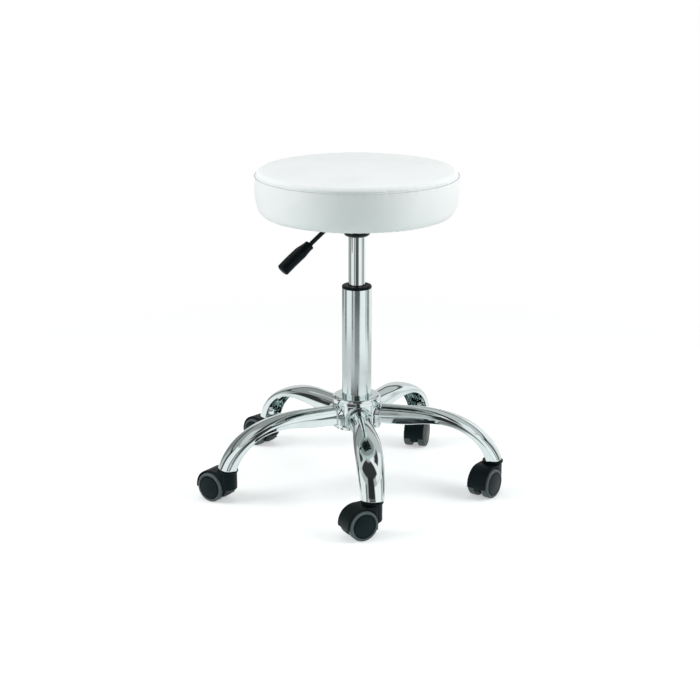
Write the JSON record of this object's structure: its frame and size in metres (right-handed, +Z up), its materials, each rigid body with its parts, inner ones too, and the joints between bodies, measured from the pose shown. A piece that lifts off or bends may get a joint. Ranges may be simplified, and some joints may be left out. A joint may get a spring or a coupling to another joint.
{
  "type": "salon stool",
  "caption": "Round padded stool on a gas-lift column, with curved channel arms on hooded castors and a release lever under the seat.",
  "frame": {"origin": "on the column axis, at the floor that the castors stand on", "axes": "+Z up along the column; arm_1 points along -Y"},
  "size_m": [0.5156, 0.5152, 0.552],
  "materials": {
    "chrome": "polished",
    "steel": "turned",
    "black_metal": "satin",
    "black_plastic": "moulded",
    "tread": "matt",
    "cap": "fine grain",
    "rubber": "matt",
    "plywood": "sanded",
    "foam": "cut foam",
    "vinyl": "fine grain"
  },
  "bodies": {
    "base": {"arm_1": "chrome", "arm_2": "chrome", "arm_3": "chrome", "arm_4": "chrome", "arm_5": "chrome", "hub_body": "chrome", "hub_collar": "chrome", "castor_sockets": "chrome", "castor_stems": "steel", "column_tube": "chrome", "guide_bush": "black_plastic", "thrust_bearing": "steel"},
    "lift_rod": {"piston_rod": "steel", "piston": "steel", "rod_clip": "steel", "end_buffer": "rubber"},
    "seat": {"lift_cylinder": "chrome", "rod_guide": "black_plastic", "seat_socket": "black_metal", "seat_plate": "black_metal", "plate_screws": "steel", "lever_pivot": "steel", "seat_board": "plywood", "t_nuts": "steel", "seat_foam": "foam", "cover_top": "vinyl", "cover_band": "vinyl"},
    "lever": {"lever_rod": "black_metal", "lever_grip": "black_plastic"},
    "release": {"release_pin": "steel"},
    "castor_1": {"castor_1_hood": "black_plastic", "castor_1_axle": "steel"},
    "castor_1_left": {"castor_1_wheel_left": "tread", "castor_1_cap_left": "cap"},
    "castor_1_right": {"castor_1_wheel_right": "tread", "castor_1_cap_right": "cap"},
    "castor_2": {"castor_2_hood": "black_plastic", "castor_2_axle": "steel"},
    "castor_2_left": {"castor_2_wheel_left": "tread", "castor_2_cap_left": "cap"},
    "castor_2_right": {"castor_2_wheel_right": "tread", "castor_2_cap_right": "cap"},
    "castor_3": {"castor_3_hood": "black_plastic", "castor_3_axle": "steel"},
    "castor_3_left": {"castor_3_wheel_left": "tread", "castor_3_cap_left": "cap"},
    "castor_3_right": {"castor_3_wheel_right": "tread", "castor_3_cap_right": "cap"},
    "castor_4": {"castor_4_hood": "black_plastic", "castor_4_axle": "steel"},
    "castor_4_left": {"castor_4_wheel_left": "tread", "castor_4_cap_left": "cap"},
    "castor_4_right": {"castor_4_wheel_right": "tread", "castor_4_cap_right": "cap"},
    "castor_5": {"castor_5_hood": "black_plastic", "castor_5_axle": "steel"},
    "castor_5_left": {"castor_5_wheel_left": "tread", "castor_5_cap_left": "cap"},
    "castor_5_right": {"castor_5_wheel_right": "tread", "castor_5_cap_right": "cap"}
  },
  "joints": [
    {"name": "seat_swivel", "type": "hinge", "parent": "base", "child": "lift_rod", "pos_m": [0, 0, 0.109], "axis": [0, 0, 1], "continuous": true},
    {"name": "seat_lift", "type": "slide", "parent": "lift_rod", "child": "seat", "axis": [0, 0, 1], "range_m": [-0.075, 0.045]},
    {"name": "lever_lift", "type": "hinge", "parent": "seat", "child": "lever", "pos_m": [-0.02443, -0.00889, 0.4646], "axis": [-0.342, 0.9397, 0], "range_deg": [0, 9], "stiffness_Nm_per_rad": 3},
    {"name": "release_press", "type": "slide", "parent": "seat", "child": "release", "axis": [0, 0, 1], "range_m": [-0.0042, 0]},
    {"name": "castor_1_swivel", "type": "hinge", "parent": "base", "child": "castor_1", "pos_m": [0, -0.2355, 0.05], "axis": [0, 0, 1], "continuous": true},
    {"name": "castor_1_left_spin", "type": "hinge", "parent": "castor_1", "child": "castor_1_left", "pos_m": [-0.02301, -0.24527, 0.025], "axis": [0.3907, -0.9205, 0], "continuous": true},
    {"name": "castor_1_right_spin", "type": "hinge", "parent": "castor_1", "child": "castor_1_right", "pos_m": [-0.02301, -0.24527, 0.025], "axis": [0.3907, -0.9205, 0], "continuous": true},
    {"name": "castor_2_swivel", "type": "hinge", "parent": "base", "child": "castor_2", "pos_m": [0.22397, -0.07277, 0.05], "axis": [0, 0, 1], "continuous": true},
    {"name": "castor_2_left_spin", "type": "hinge", "parent": "castor_2", "child": "castor_2_left", "pos_m": [0.20731, -0.09141, 0.025], "axis": [0.7455, -0.6665, 0], "continuous": true},
    {"name": "castor_2_right_spin", "type": "hinge", "parent": "castor_2", "child": "castor_2_right", "pos_m": [0.20731, -0.09141, 0.025], "axis": [0.7455, -0.6665, 0], "continuous": true},
    {"name": "castor_3_swivel", "type": "hinge", "parent": "base", "child": "castor_3", "pos_m": [0.13842, 0.19052, 0.05], "axis": [0, 0, 1], "continuous": true},
    {"name": "castor_3_left_spin", "type": "hinge", "parent": "castor_3", "child": "castor_3_left", "pos_m": [0.12938, 0.16722, 0.025], "axis": [0.9323, -0.3616, 0], "continuous": true},
    {"name": "castor_3_right_spin", "type": "hinge", "parent": "castor_3", "child": "castor_3_right", "pos_m": [0.12938, 0.16722, 0.025], "axis": [0.9323, -0.3616, 0], "continuous": true},
    {"name": "castor_4_swivel", "type": "hinge", "parent": "base", "child": "castor_4", "pos_m": [-0.13842, 0.19052, 0.05], "axis": [0, 0, 1], "continuous": true},
    {"name": "castor_4_left_spin", "type": "hinge", "parent": "castor_4", "child": "castor_4_left", "pos_m": [-0.15476, 0.20945, 0.025], "axis": [-0.757, -0.6534, 0], "continuous": true},
    {"name": "castor_4_right_spin", "type": "hinge", "parent": "castor_4", "child": "castor_4_right", "pos_m": [-0.15476, 0.20945, 0.025], "axis": [-0.757, -0.6534, 0], "continuous": true},
    {"name": "castor_5_swivel", "type": "hinge", "parent": "base", "child": "castor_5", "pos_m": [-0.22397, -0.07277, 0.05], "axis": [0, 0, 1], "continuous": true},
    {"name": "castor_5_left_spin", "type": "hinge", "parent": "castor_5", "child": "castor_5_left", "pos_m": [-0.24278, -0.05631, 0.025], "axis": [-0.6587, -0.7524, 0], "continuous": true},
    {"name": "castor_5_right_spin", "type": "hinge", "parent": "castor_5", "child": "castor_5_right", "pos_m": [-0.24278, -0.05631, 0.025], "axis": [-0.6587, -0.7524, 0], "continuous": true}
  ],
  "couplings": [
    {"joint": "release_press", "follows": "lever_lift", "m_per_rad": -0.026}
  ]
}
